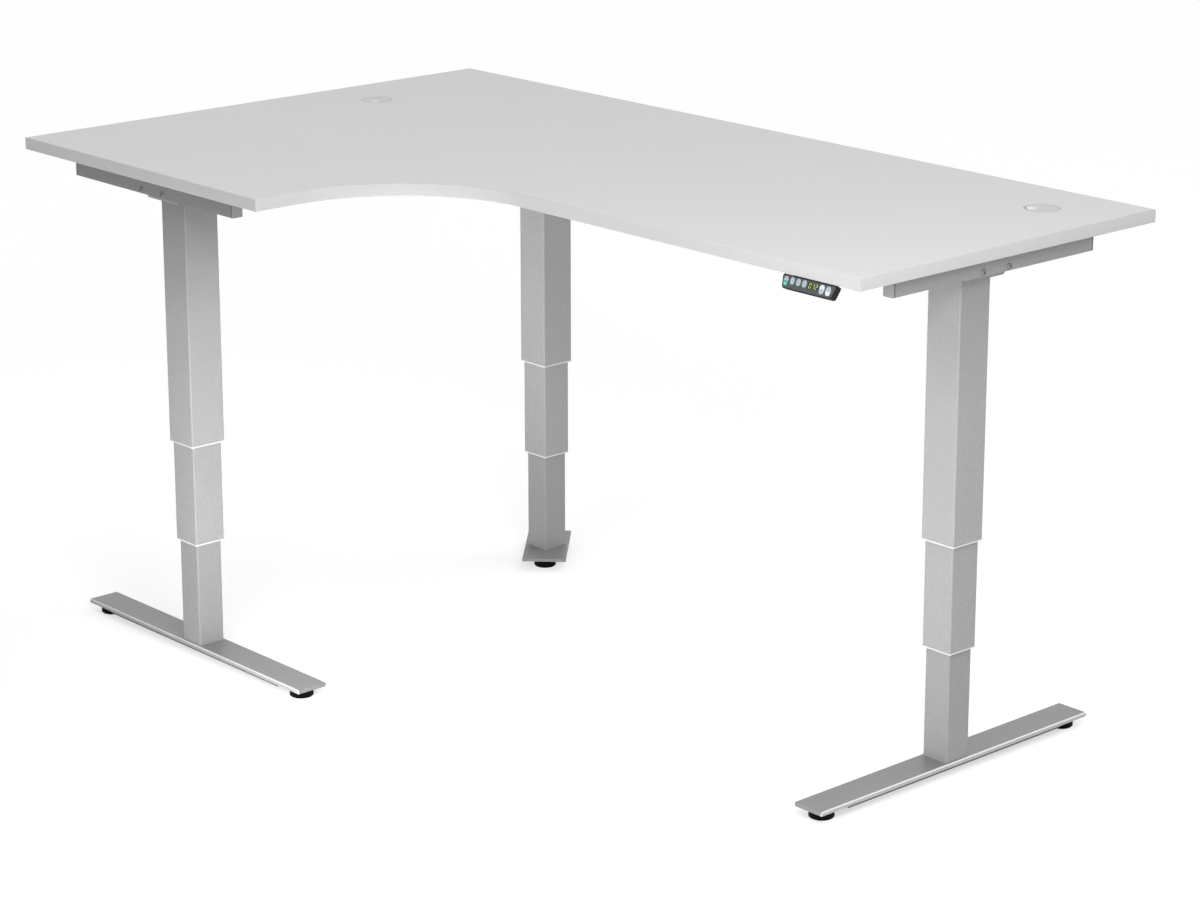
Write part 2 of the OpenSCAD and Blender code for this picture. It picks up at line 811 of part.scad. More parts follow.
// Rail bolts: the near one threads into the column, the far one takes a nut behind the plate
module rail_bolt_set(shift) {
    grip = rail_w + head_t;
    for (p = near_bolts(shift)) translate([p.x, plate_y - rail_w, p.y]) rotate([-90, 0, 0])
        bolt(bolt_d, bolt_head_d, grip + tube_t + bolt_end);
    for (p = far_bolts(shift)) translate([p.x, plate_y - rail_w, p.y]) rotate([-90, 0, 0]) {
        bolt(bolt_d, bolt_head_d, grip + nut_t + bolt_end);
        translate([0, 0, grip]) cylinder(d = nut_af / cos(30), h = nut_t, $fn = 6);
    }
}

// Beam bolts, through a flange and the wall behind it; each place is [x, y, direction]
module beam_bolt_set(places) {
    for (p = places) translate([p.x, p.y, beam_z]) rotate([0, 90, p[2]])
        translate([0, 0, -flange_t]) bolt(beam_bolt_d, beam_head_d, flange_t + tube_t + beam_bolt_out);
}

module frame_fasteners() {
    color(steel) {
        at_left() rail_bolt_set(left_shift);
        at_right() rail_bolt_set(right_shift);
        beam_bolt_set([
            for (x = flange_bolts) each [
                [side_beam_x + x, side_beam_y[0], -90],
                [side_beam_x + x, side_beam_y[1], 90],
                [back_beam_x[1], back_beam_y + x, 0]
            ],
            for (y = corner_bolts) [back_beam_x[0], y, 180]
        ]);
        for (s = screws) {
            translate([s.x, s.y, s.z - screw_head_h])
                cylinder(d = screw_head_d, h = screw_head_h, $fn = fine);
            translate([s.x, s.y, s.z - over])
                cylinder(d = screw_d, h = z_under + screw_in - s.z + over, $fn = fine);
        }
    }
}

// ---- columns in place -----------------------------------------------------

module corner_outer_tube() {
    side_bolts = [for (x = flange_bolts) [side_beam_x - corner_leg.x + x, beam_z]];
    back_bolts = [for (y = corner_bolts) [y - corner_leg.y, beam_z]];
    at_corner() difference() {
        outer_tube(side_bolts, beam_bolt_d, []);
        rotate([0, 0, 90])
            wall_holes(back_bolts, beam_bolt_d + 2 * bolt_hole_gap, -outer_s / 2, tube_t);
    }
}

module left_outer_tube() {
    rear = [for (x = flange_bolts) [side_beam_x - left_leg.x + x, beam_z]];
    at_left() outer_tube(near_bolts(left_shift), bolt_d, rear);
}

module right_outer_tube() {
    at_right() outer_tube(near_bolts(right_shift), bolt_d, []);
}

module outer_collars() {
    at_corner() collar(outer_s, z_outer);
    at_left() collar(outer_s, z_outer);
    at_right() collar(outer_s, z_outer);
}

// ---- worktop --------------------------------------------------------------

module worktop() {
    color(board_grey) difference() {
        translate([0, 0, z_under]) linear_extrude(top_t) top_outline(band_t);
        for (g = grommets) translate([g.x, g.y, 0]) {
            translate([0, 0, z_under - over]) cylinder(d = grommet_hole + 1, h = top_t, $fn = 2 * fine);
            translate([0, 0, desk_h - flange_depth])
                cylinder(d = grommet_d + 0.4, h = flange_depth + over, $fn = 2 * fine);
        }
        for (s = screws) translate([s.x, s.y, z_under - over])
            cylinder(d = screw_d, h = screw_in + over, $fn = fine);
    }
}

module edge_band() {
    color(board_grey) translate([0, 0, z_under]) linear_extrude(top_t) difference() {
        top_outline(0);
        top_outline(band_t);
    }
}

// ---- control box ----------------------------------------------------------

module control_box() {
    socket_z = z_under - box_h / 2;
    color(black) translate([box_pos.x, box_pos.y, 0]) difference() {
        union() {
            translate([0, 0, z_under - box_h]) linear_extrude(box_h - lid_h)
                round_rect(box_l, box_d, box_r);
            translate([0, 0, z_under - lid_h]) linear_extrude(lid_h)
                round_rect(box_l - 2 * lid_in, box_d - 2 * lid_in, box_r - lid_in);
            for (x = [-1, 1], y = [-1, 1])
                translate([x * box_l / 2, y * ear_y, z_under - ear_t]) linear_extrude(ear_t)
                    round_rect(2 * ear_l, ear_w, 4);
        }
        for (s = sockets)
            translate([s.x - s.y / 2, box_d / 2 - socket_depth, socket_z - s.z / 2])
                cube([s.y, socket_depth + over, s.z]);
        // mains inlet, with its three contact pins left standing
        difference() {
            translate([inlet_x, box_d / 2 + over, socket_z]) along_y()
                linear_extrude(socket_depth + over) round_rect(inlet.x, inlet.y, inlet_r);
            for (p = contacts)
                translate([inlet_x + p.x, box_d / 2 - socket_depth, socket_z + p.y]) cube(contact);
        }
        for (x = [-1, 1], y = [-1, 1])
            translate([x * (box_l + ear_l) / 2, y * ear_y, z_under - ear_t - over])
                cylinder(d = screw_hole_d, h = ear_t + 2 * over, $fn = fine);
    }
}

// ---- grommets -------------------------------------------------------------

module grommet_sleeves() {
    color(board_grey * 0.95) for (g = grommets) translate([g.x, g.y, 0]) difference() {
        union() {
            translate([0, 0, desk_h - flange_depth])
                cylinder(d = grommet_d, h = flange_depth, $fn = 2 * fine);
            translate([0, 0, z_under + sleeve_up])
                cylinder(d = grommet_hole, h = top_t - sleeve_up - over, $fn = 2 * fine);
        }
        translate([0, 0, z_under]) cylinder(r = sleeve_ir, h = top_t + over, $fn = 2 * fine);
        translate([0, 0, desk_h - grommet_cap_t - cap_lift]) cylinder(r = seat_r, h = top_t, $fn = 2 * fine);
    }
}

// Turning cap with a short skirt and a cable slot at its rim
module grommet_cap(i) {
    z_cap = desk_h - grommet_cap_t;
    skirt_r = sleeve_ir - cap_gap;
    color(board_grey * 0.92) translate([grommets[i].x, grommets[i].y, 0]) difference() {
        union() {
            translate([0, 0, z_cap]) cylinder(r = seat_r - cap_gap, h = grommet_cap_t, $fn = 2 * fine);
            translate([0, 0, z_cap - skirt_h]) cylinder(r = skirt_r, h = skirt_h, $fn = 2 * fine);
        }
        translate([0, 0, z_cap - skirt_h - over])
            cylinder(r = skirt_r - sleeve_t, h = skirt_h + over, $fn = 2 * fine);
        rotate([0, 0, slot_angles[i]]) translate([seat_r - slot_in, 0, z_cap - skirt_h - over])
            linear_extrude(skirt_h + grommet_cap_t + 2 * over) {
                translate([0, -slot_w / 2]) square([slot_in + over, slot_w]);
                circle(d = slot_w, $fn = fine);
            }
    }
}

// ---- handset --------------------------------------------------------------

// Face outline, drawn in by i: wide at the top, its sides sloping in towards the bottom
module face_outline(i) {
    top = handset_w / 2;
    slope = side_taper / face_h;
    side = function(y) top + slope * y - i * sqrt(1 + slope * slope);
    polygon(round_poly(
        [[-side(-i), -i], [side(-i), -i], [side(i - face_h), i - face_h], [-side(i - face_h), i - face_h]],
        [for (r = face_corner) r - i]
    ));
}

// Outlines of the three groups of keys, drawn out by g
module save_outline(g) {
    translate([save_x, long_key_v]) pill(key_w + 2 * g, save_l + 2 * g);
}

module memory_outline(i, g) {
    translate([memory_x[i], memory_v]) pill(key_w + 2 * g, key_l + 2 * g);
}

module drive_outline(i, g) {
    translate([drive_x[i], long_key_v]) pill(drive_key_w + 2 * g, drive_key_l + 2 * g);
}

module all_key_holes() {
    save_outline(key_gap);
    for (i = [0 : 2]) memory_outline(i, key_gap);
    for (i = [0 : 1]) drive_outline(i, key_gap);
}

// Moulded housing: a leaning shell in front, and a mounting block behind it under the board
module handset_housing() {
    color(black) difference() {
        union() {
            at_handset() translate([0, 0, -shell_d]) linear_extrude(shell_d) face_outline(0);
            translate(handset_pos) along_x() linear_extrude(block_w, center = true)
                polygon(round_poly(block_side, block_r));
        }
        at_handset() translate([0, 0, -panel_t]) linear_extrude(panel_t + over) face_outline(border);
        at_handset() translate([0, 0, -key_floor]) linear_extrude(key_floor + over) all_key_holes();
        for (x = [-1, 1])
            translate([handset_pos.x + x * handset_screw.x, handset_pos.y + handset_screw.y, 0]) {
                translate([0, 0, z_under - handset_ear - over])
                    cylinder(d = screw_hole_d, h = handset_ear + 2 * over, $fn = fine);
                translate([0, 0, z_under - block_d])
                    cylinder(d = screw_head_d + 1, h = block_d - handset_ear, $fn = fine);
            }
        // socket of the handset's lead
        translate(handset_pos + [-lead_socket.x / 2, block_d - lead_socket.y, -lead_skin - lead_socket.z])
            cube(lead_socket + [0, over, 0]);
    }
}

module handset_panel() {
    color([0.27, 0.28, 0.30]) at_handset() translate([0, 0, -panel_t]) linear_extrude(panel_t) difference() {
        face_outline(border);
        all_key_holes();
    }
}

// A key stands proud of the panel, with its body in the housing behind it
module key(tint) {
    color(tint) at_handset() translate([0, 0, -key_in]) linear_extrude(key_in + key_up) children();
}

// One half of the divided key: side 1 is the upper, -1 the lower
module half_key(side, tint) {
    key(tint) intersection() {
        save_outline(0);
        translate([save_x - key_w, long_key_v + (side > 0 ? key_gap : -save_l)])
            square([2 * key_w, save_l - key_gap]);
    }
}

// ---- assembly -------------------------------------------------------------

at_corner() corner_foot();
at_corner() lower_tube(corner_foot_t);  // corner_lower_tube
at_corner() lower_guide();  // corner_lower_guide
at_corner() middle_tube();  // corner_middle_tube
at_corner() middle_collar();  // corner_middle_collar
at_corner() middle_nut();  // corner_middle_nut
at_left() side_foot();  // left_foot
at_left() foot_bar();  // left_foot_bar
at_left() lower_tube(foot_t);  // left_lower_tube
at_left() lower_guide();  // left_lower_guide
at_left() middle_tube();  // left_middle_tube
at_left() middle_collar();  // left_middle_collar
at_left() middle_nut();  // left_middle_nut
at_right() side_foot();  // right_foot
at_right() foot_bar();  // right_foot_bar
at_right() lower_tube(foot_t);  // right_lower_tube
at_right() lower_guide();  // right_lower_guide
at_right() middle_tube();  // right_middle_tube
at_right() middle_collar();  // right_middle_collar
at_right() middle_nut();  // right_middle_nut
at_corner() spindle();  // corner_spindle
at_left() spindle();  // left_spindle
at_right() spindle();  // right_spindle
at_corner() corner_glide(1);  // corner_glide_front
at_corner() corner_glide(-1);  // corner_glide_rear
at_left() side_glide(-1);  // left_glide_outer
at_left() side_glide(1);  // left_glide_inner
at_right() side_glide(-1);  // right_glide_front
at_right() side_glide(1);  // right_glide_rear
worktop();
edge_band();
corner_outer_tube();
left_outer_tube();
right_outer_tube();
outer_collars();
at_corner() motor();  // corner_motor
at_left() motor();  // left_motor
at_right() motor();  // right_motor
at_corner() corner_head_bracket();
at_left() head_bracket(left_shift);  // left_head_bracket
at_right() head_bracket(right_shift);  // right_head_bracket
at_left() rail(left_shift);  // left_rail
right_rail();
rail_end_caps();
side_beam();
back_beam();
frame_fasteners();
control_box();
grommet_sleeves();
grommet_cap(0);  // left_grommet_cap
grommet_cap(1);  // right_grommet_cap
handset_housing();
handset_panel();
half_key(1, key_grey);  // handset_key_save
half_key(-1, key_teal);  // handset_key_lock
key(key_grey) memory_outline(0, 0);  // handset_key_1
key(key_grey) memory_outline(1, 0);  // handset_key_2
key(key_grey) memory_outline(2, 0);  // handset_key_3
key(key_pale) drive_outline(0, 0);  // handset_key_up
key(key_pale) drive_outline(1, 0);  // handset_key_down
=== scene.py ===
"""Looks, light and camera for a height adjustable corner desk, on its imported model."""

import json
import math

import bmesh
import bpy
from mathutils import Matrix, Vector


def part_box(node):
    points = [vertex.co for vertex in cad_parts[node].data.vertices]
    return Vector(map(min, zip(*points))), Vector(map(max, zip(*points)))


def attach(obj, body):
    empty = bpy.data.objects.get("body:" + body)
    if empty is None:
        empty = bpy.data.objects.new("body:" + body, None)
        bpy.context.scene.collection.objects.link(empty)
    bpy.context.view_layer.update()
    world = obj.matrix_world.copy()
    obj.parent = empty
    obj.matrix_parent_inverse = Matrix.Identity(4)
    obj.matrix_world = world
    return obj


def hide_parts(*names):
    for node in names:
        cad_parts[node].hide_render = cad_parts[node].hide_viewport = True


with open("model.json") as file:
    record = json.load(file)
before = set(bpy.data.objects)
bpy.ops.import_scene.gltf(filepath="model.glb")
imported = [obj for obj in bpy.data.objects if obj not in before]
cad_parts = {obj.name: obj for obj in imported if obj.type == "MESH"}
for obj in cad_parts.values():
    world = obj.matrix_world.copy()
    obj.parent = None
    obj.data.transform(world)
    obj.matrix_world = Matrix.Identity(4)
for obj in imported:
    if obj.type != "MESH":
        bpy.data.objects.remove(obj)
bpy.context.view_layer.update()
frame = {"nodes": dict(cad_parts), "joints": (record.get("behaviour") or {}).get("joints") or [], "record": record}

NODES = frame["nodes"]
RECORD = frame["record"]
MM = 0.001

# ---- camera and light ------------------------------------------------------

CAMERA_PLACE = (4.770, -4.209, 2.383)
CAMERA_YAW = 47.90
CAMERA_PITCH = 15.18    # down from level
CAMERA_LENS = 98.8
CAMERA_SHIFT = -0.08    # of the picture's width

SKY = 0.42              # light that the surroundings give
WHITE = (1, 1, 1, 1)

# Far soft lights: name, place that it shines from, strength and spread in degrees
SUNS = (
    ("overhead", (0, 0, 4), 0.96, 75),
    ("overhead_rear", (1.0, 2.5, 3), 0.62, 40),
)

# Soft boxes: name, place, target, size, power and spread in degrees
BOXES = (
    ("box_right", (2.6, -1.5, 2.3), (0.2, 0, 0.6), (1, 1), 54, 180),
    ("box_front", (2.3, -2.6, 0.5), (0.3, -0.1, 0.5), (1.2, 0.8), 14.5, 180),
    ("box_notch", (0.05, -0.95, 0.3), (-0.4, 0.2, 0.3), (0.5, 0.4), 5.0, 130),
    ("box_under", (-0.5, -0.2, 0.42), (-0.54, 0.43, 0.75), (0.4, 0.22), 0.85, 110),
    ("box_column", (0.92, -1.7, 0.35), (0.92, 0.1, 0.35), (0.5, 0.5), 2.9, 70),
)

FLOOR_HALF = 30         # half a side of the floor
FLOOR_PALE = 0.8        # of the floor as the lamps' light meets it
FLOOR_SHADED = 0.42     # share of the lamps' light in the floor that the camera sees
FLOOR_GLOW = 0.62       # even light of the floor that the camera sees

# ---- sizes of the pieces that are made here --------------------------------

SHARP = math.radians(35)        # faces that meet at more than this stay sharp
WELD = 1e-6                     # points closer than this are one
FLAT = math.radians(0.5)        # faces that meet at less than this are one
SAME_LEVEL = 1e-5               # heights closer than this are the same
UPRIGHT = 0.1                   # a face whose normal rises less than this stands upright

EDGE_ROUND = 1.6 * MM           # radius on the outer edges of the worktop's edging
EDGE_STEPS = 4
EDGE_PROBE = 1.2                # how far from a wall of the edging a test point lies, of its
                                # thickness
PROBE_HEIGHT = 100 * MM         # of the test's start above the worktop

SEAM = 2 * MM                   # between the end of a rail and its cap
SEAM_IN = 0.4 * MM              # of the seam's filling from the rail's surface
SEAM_CORNER = 2 * MM

SLOT_FROM_AXIS = 18 * MM        # middle of a cable slot's round end from its cap's axis
SLOT_END = 27 * MM              # end of the slot's walls from the axis
SLOT_RADIUS = 9 * MM
SLOT_STEPS = 14
# Section of a slot's wall: away from the slot, and up from the cap
WALL_SECTION = [(x * MM, z * MM) for x, z in
                ((-0.5, -6), (0.9, -6), (0.9, 0), (0.4, 0.3), (-0.2, 0.3), (-0.5, 0))]

WINDOW_SIZE = (27 * MM, 12.4 * MM)
WINDOW_PLACE = (11.5 * MM, 2.4 * MM)    # its middle from the middle of the panel
WINDOW_CORNER = 1.6 * MM
WINDOW_SUNK = 0.1 * MM
WINDOW_RISE = 0.25 * MM
WINDOW_EASE = 0.15 * MM                 # bevel round its rim

DIGIT_PITCH = 7.6 * MM
DIGIT_SIZE = (4.2 * MM, 8.6 * MM)
DIGIT_STROKE = 0.9 * MM
DIGIT_LEAN = 0.12
SEGMENT_GAP = 0.25              # left free at each end of a segment, of a stroke

INK_SUNK = 0.05 * MM            # of a sign's underside into what it lies on
INK_RISE = 0.06 * MM
LETTER_BASE = 0.02 * MM         # of a written sign's middle above the key
LETTER_HALF = 0.04 * MM         # half of its thickness
LETTER_STEPS = 3
NUMBER_SIZE = 5.2 * MM
SAVE_SIZE = 3.6 * MM

ARROW_HALF = 2.2 * MM           # half of its width
ARROW_RISE = 0.8                # height of its point, of half the width
ARROW_THICK = 0.55              # its stroke, of half the width

LOCK_SIZE = (3.2 * MM, 2.3 * MM)
LOCK_CORNER = 0.4 * MM
LOCK_Y = -0.9 * MM
BOW_RADIUS = 1.05 * MM
BOW_THICK = 0.4 * MM
BOW_Y = 0.2 * MM
BOW_STEPS = 10

TICK_SIZE = (2.0 * MM, 0.5 * MM)
TICK_ROUND = 0.45               # radius of its corners, of its height
TICKS_X = (-61.8 * MM, 25.2 * MM, 56.5 * MM)
TICK_Y = 0.4 * MM

SMALL_STEPS = 3                 # of a rounded corner on a sign
CORNER_STEPS = 6                # of any other rounded corner

# ---- colours, as they look (0 to 255) --------------------------------------

BOARD = (196, 196, 196)
EDGE = (188, 188, 188)
SILVER = (155, 155, 155)
# Lighter and darker copies of SILVER, all one paint: painted light on the outer tubes, painted shade on the lower
# tubes, the rails and the corner foot
SILVER_PAINTED_LIGHT = (160, 160, 160)
SILVER_PAINTED_SHADE = (130, 130, 130)
SILVER_PAINTED_HALF_SHADE = (146, 146, 146)
# Painted highlight on the feet's rounded edges, and a darker copy of it for the left foot as painted shade
SILVER_RIM = (205, 205, 205)
SILVER_RIM_PAINTED_SHADE = (192, 192, 192)
# The silver foot bars made dark as painted shade under the feet
FOOT_BAR_PAINTED_SHADE = (90, 90, 91)
COLLAR = (208, 208, 207)
CAP = (140, 140, 141)
# Silver paint as on the rails, made darker as painted shade
BOLT_PAINTED_SHADE = (116, 116, 117)
MOTOR = (120, 122, 125)
STEEL = (150, 151, 153)
GROMMET_RING = (160, 160, 160)
GROMMET = (180, 180, 180)
# Near-white on the walls of the cable slots: a painted highlight
SLOT_HIGHLIGHT_WHITE = (240, 240, 240)
SEAM_GREY = (30, 30, 31)
BLACK = (18, 18, 19)
PAD_BLACK = (7, 7, 8)
PANEL = (62, 64, 69)
WINDOW = (24, 26, 28)
KEY_GREY = (152, 166, 174)
KEY_PALE = (192, 202, 212)
KEY_TEAL = (44, 165, 142)
DIGIT = (172, 202, 70)
INK = (70, 76, 82)
INK_PALE = (196, 200, 204)
INK_TEAL = (140, 214, 198)


def linear(colour):
    """An sRGB colour in 0 to 255 as linear RGBA."""
    def channel(c):
        c /= 255
        return c / 12.92 if c <= 0.04045 else ((c + 0.055) / 1.055) ** 2.4
    return (*[channel(c) for c in colour], 1.0)


def shade(colour, factor):
    """The colour made lighter or darker, linear RGBA."""
    r, g, b, a = linear(colour)
    return (min(r * factor, 1), min(g * factor, 1), min(b * factor, 1), a)


def grey(level):
    """A linear grey."""
    return (level, level, level, 1.0)


# ---- materials -------------------------------------------------------------

NOISE_LOW, NOISE_HIGH = 0.3, 0.7    # where most of a noise's values lie
GRAIN_DETAIL = 3.0
BUMP_DETAIL = 2.0
BUMP_GRAIN = 1.3                    # scale of the bump's noise, of the grain's
BUMP_DEPTH = 0.2 * MM
CLOUD_SCALE = 5.0
CLOUD_DETAIL = 1.0
CLOUD = 0.015                       # how much darker the clouds make a colour
ROUGHNESS_SPREAD = 0.04

KEY_FADE = 0.62                     # of a key's darker end, of its lighter end
FADE_LOW, FADE_HIGH = 0.35, 0.75    # where that fade lies, of the key's length
# Painted shade under the board on the outer tubes: their colour darkens between these heights
SHADE_LOW, SHADE_HIGH = 0.72, 0.94  # heights between which an outer tube darkens

# Where a bar's surface turns from its top into the rounded edge, and from that into its side,
# as the size of its normal's part across the bar: the ends of the painted edge highlight
RIM_START = (0.15, 0.35)
RIM_END = (0.9, 0.99)


class Surface:
    """A node material: one Principled shader, and nodes for colour, roughness and bump."""

    def __init__(self, name, **sockets):
        self.material = bpy.data.materials.new(name)
        self.material.use_nodes = True
        self.tree = self.material.node_tree
        self.shader = self.tree.nodes["Principled BSDF"]
        self.place = self.coordinates("Object")
        for socket, value in sockets.items():
            self.shader.inputs[socket.replace("_", " ")].default_value = value

    def coordinates(self, kind):
        """Object: metres in the object's frame. Generated: 0 to 1 along the object's box."""
        return self.tree.nodes.new("ShaderNodeTexCoord").outputs[kind]

    def noise(self, scale, detail):
        node = self.tree.nodes.new("ShaderNodeTexNoise")
        node.inputs["Scale"].default_value = scale
        node.inputs["Detail"].default_value = detail
        self.tree.links.new(self.place, node.inputs["Vector"])
        return node.outputs["Fac"]

    def part(self, vector, axis):
        """One component of a vector."""
        node = self.tree.nodes.new("ShaderNodeSeparateXYZ")
        self.tree.links.new(vector, node.inputs["Vector"])
        return node.outputs[axis]

    def ramp(self, factor, stops):
        """Colours along factor: (place, colour) pairs."""
        node = self.tree.nodes.new("ShaderNodeValToRGB")
        ends = node.color_ramp.elements
        while len(ends) < len(stops):
            ends.new(0.5)
        for end, (place, colour) in zip(ends, stops):
            end.position = place
            end.color = colour
        self.tree.links.new(factor, node.inputs["Fac"])
        return node.outputs["Color"]

    def span(self, noise, low, high):
        """A noise as a number from low to high."""
        node = self.tree.nodes.new("ShaderNodeMapRange")
        node.inputs["From Min"].default_value = NOISE_LOW
        node.inputs["From Max"].default_value = NOISE_HIGH
        node.inputs["To Min"].default_value = low
        node.inputs["To Max"].default_value = high
        self.tree.links.new(noise, node.inputs["Value"])
        return node.outputs["Result"]

    def multiply(self, a, b):
        node = self.tree.nodes.new("ShaderNodeMix")
        node.data_type = "RGBA"
        node.blend_type = "MULTIPLY"
        node.inputs["Factor"].default_value = 1.0
        self.tree.links.new(a, node.inputs["A"])
        self.tree.links.new(b, node.inputs["B"])
        return node.outputs["Result"]

    def paint(self, socket, value):
        self.tree.links.new(value, self.shader.inputs[socket])

    def bump(self, height, strength):
        node = self.tree.nodes.new("ShaderNodeBump")
        node.inputs["Strength"].default_value = strength
        node.inputs["Distance"].default_value = BUMP_DEPTH
        self.tree.links.new(height, node.inputs["Height"])
        self.paint("Normal", node.outputs["Normal"])


def grained(name, colour, grain, contrast, roughness, bump, tint=None, **sockets):
    """A finish with fine grain in its colour, a soft large cloud over it, and a fine bump.
    tint(surface) may give one more colour to multiply by."""
    surface = Surface(name, **sockets)
    flecks = surface.ramp(surface.noise(grain, GRAIN_DETAIL),
                          [(NOISE_LOW, shade(colour, 1 - contrast)),
                           (NOISE_HIGH, shade(colour, 1 + contrast))])
    drift = surface.noise(CLOUD_SCALE, CLOUD_DETAIL)
    clouds = surface.ramp(drift, [(NOISE_LOW, grey(1 - CLOUD)), (NOISE_HIGH, grey(1))])
    painted = surface.multiply(flecks, clouds)
    if tint:
        painted = surface.multiply(painted, tint(surface))
    surface.paint("Base Color", painted)
    surface.paint("Roughness", surface.span(drift, roughness - ROUGHNESS_SPREAD,
                                            roughness + ROUGHNESS_SPREAD))
    surface.bump(surface.noise(grain * BUMP_GRAIN, BUMP_DETAIL), bump)
    return surface.material


def painted_rim_highlight(across, flat_tint, side_tint):
    """Painted highlight and shade on a bar whose sides look along axis across: full colour on its
    rounded long edges, side_tint of it on its sides and flat_tint on its top and ends."""
    def tint(surface):
        geometry = surface.tree.nodes.new("ShaderNodeNewGeometry")
        lean = surface.tree.nodes.new("ShaderNodeMath")
        lean.operation = "ABSOLUTE"
        surface.tree.links.new(surface.part(geometry.outputs["Normal"], across), lean.inputs[0])
        return surface.ramp(lean.outputs[0], [
            (RIM_START[0], grey(flat_tint)), (RIM_START[1], grey(1)),
            (RIM_END[0], grey(1)), (RIM_END[1], grey(side_tint))])
    return tint


def painted_board_shade(least):
    """Painted shade: full colour low on an outer tube, and least of it at the top, where the board
    keeps light off."""
    def tint(surface):
        return surface.ramp(surface.part(surface.place, "Z"),
                            [(SHADE_LOW, grey(1)), (SHADE_HIGH, grey(least))])
    return tint


def fading(up):
    """Full colour at one end of a key, less at the other."""
    def tint(surface):
        low, high = (KEY_FADE, 1) if up else (1, KEY_FADE)
        return surface.ramp(surface.part(surface.coordinates("Generated"), "Z"),
                            [(FADE_LOW, grey(low)), (FADE_HIGH, grey(high))])
    return tint


# A look: colour, scale of its grain, contrast of the grain, roughness, bump, and any tint or
# other value of the shader

def powder_coat(colour, **tint):
    """The columns' silver finish in one of its tones; tones lighter or darker than SILVER are painted light and
    shade.
    """
    return (colour, 620, 0.16, 0.46, 0.25, {"Metallic": 0.25, **tint})


def foot_coat(colour, tint):
    """The finish of a long foot, with a painted highlight on its rounded edges and painted shade on its top and
    sides.
    """
    return (colour, 620, 0.12, 0.42, 0.20, {"Metallic": 0.3, "tint": tint})


def small(colour, contrast, roughness, bump, **more):
    """A finish of the handset, with very fine grain."""
    return (colour, 1500, contrast, roughness, bump, more)


def key_finish(colour, **tint):
    """A key's moulded plastic."""
    return small(colour, 0.03, 0.42, 0.10, **tint)


def ink(colour):
    """The print on a key or on the panel."""
    return small(colour, 0.05, 0.45, 0.02)


LOOKS = {
    "board": (BOARD, 420, 0.03, 0.50, 0.10, {"Specular_IOR_Level": 0.45}),
    "board_edge": (EDGE, 420, 0.025, 0.42, 0.08, {}),
    "silver": powder_coat(SILVER),
    # Painted light and shade: a lighter copy of the silver paint, darkened towards the top as painted shade under
    # the board
    "left_outer": powder_coat(SILVER_PAINTED_LIGHT, tint=painted_board_shade(0.70)),
    "right_outer": powder_coat(SILVER_PAINTED_LIGHT, tint=painted_board_shade(0.84)),
    # Darker copies of the silver paint: painted shade
    "silver_painted_half_shade": powder_coat(SILVER_PAINTED_HALF_SHADE),
    "silver_painted_shade": powder_coat(SILVER_PAINTED_SHADE),
    # The feet: a painted highlight on their rounded edges, painted shade on their tops and sides, the left foot
    # darker as painted shade
    "left_foot": foot_coat(SILVER_RIM_PAINTED_SHADE, painted_rim_highlight("Y", 0.44, 0.62)),
    "right_foot": foot_coat(SILVER_RIM, painted_rim_highlight("X", 0.38, 0.7)),
    # Dark copy of the silver paint: painted shade under the feet
    "foot_bar": (FOOT_BAR_PAINTED_SHADE, 620, 0.12, 0.46, 0.20, {"Metallic": 0.25}),
    # The bolts' silver paint made darker: painted shade
    "bolt": (BOLT_PAINTED_SHADE, 900, 0.06, 0.52, 0.10, {"Metallic": 0.1}),
    "cap": (CAP, 700, 0.04, 0.42, 0.12, {}),
    "motor": (MOTOR, 500, 0.10, 0.38, 0.15, {"Metallic": 0.8}),
    "steel": (STEEL, 800, 0.08, 0.33, 0.10, {"Metallic": 0.9}),
    "collar": (COLLAR, 600, 0.02, 0.45, 0.08, {}),
    "grommet": (GROMMET, 700, 0.02, 0.40, 0.12, {}),
    "grommet_ring": (GROMMET_RING, 700, 0.02, 0.40, 0.12, {}),
    # Near-white slot walls: a painted highlight
    "slot_wall": (SLOT_HIGHLIGHT_WHITE, 700, 0.02, 0.40, 0.05, {}),
    "seam": (SEAM_GREY, 900, 0.05, 0.50, 0.10, {}),
    "black": (BLACK, 1100, 0.15, 0.55, 0.35, {"Specular_IOR_Level": 0.3}),
    "pad": (PAD_BLACK, 1100, 0.15, 0.55, 0.35, {"Specular_IOR_Level": 0.08}),
    "panel": small(PANEL, 0.06, 0.36, 0.12),
    "window": small(WINDOW, 0.05, 0.16, 0.02, Coat_Weight=0.4, Coat_Roughness=0.08),
    "key_grey": key_finish(KEY_GREY),
    "key_up": key_finish(KEY_PALE, tint=fading(True)),
    "key_down": key_finish(KEY_PALE, tint=fading(False)),
    "key_teal": key_finish(KEY_TEAL),
    "digit": small(DIGIT, 0.04, 0.35, 0.02, Emission_Strength=0.25, Emission_Color=linear(DIGIT)),
    "ink": ink(INK),
    "ink_pale": ink(INK_PALE),
    "ink_teal": ink(INK_TEAL),
}
finishes = {name: grained(name, *look[:-1], **look[-1]) for name, look in LOOKS.items()}

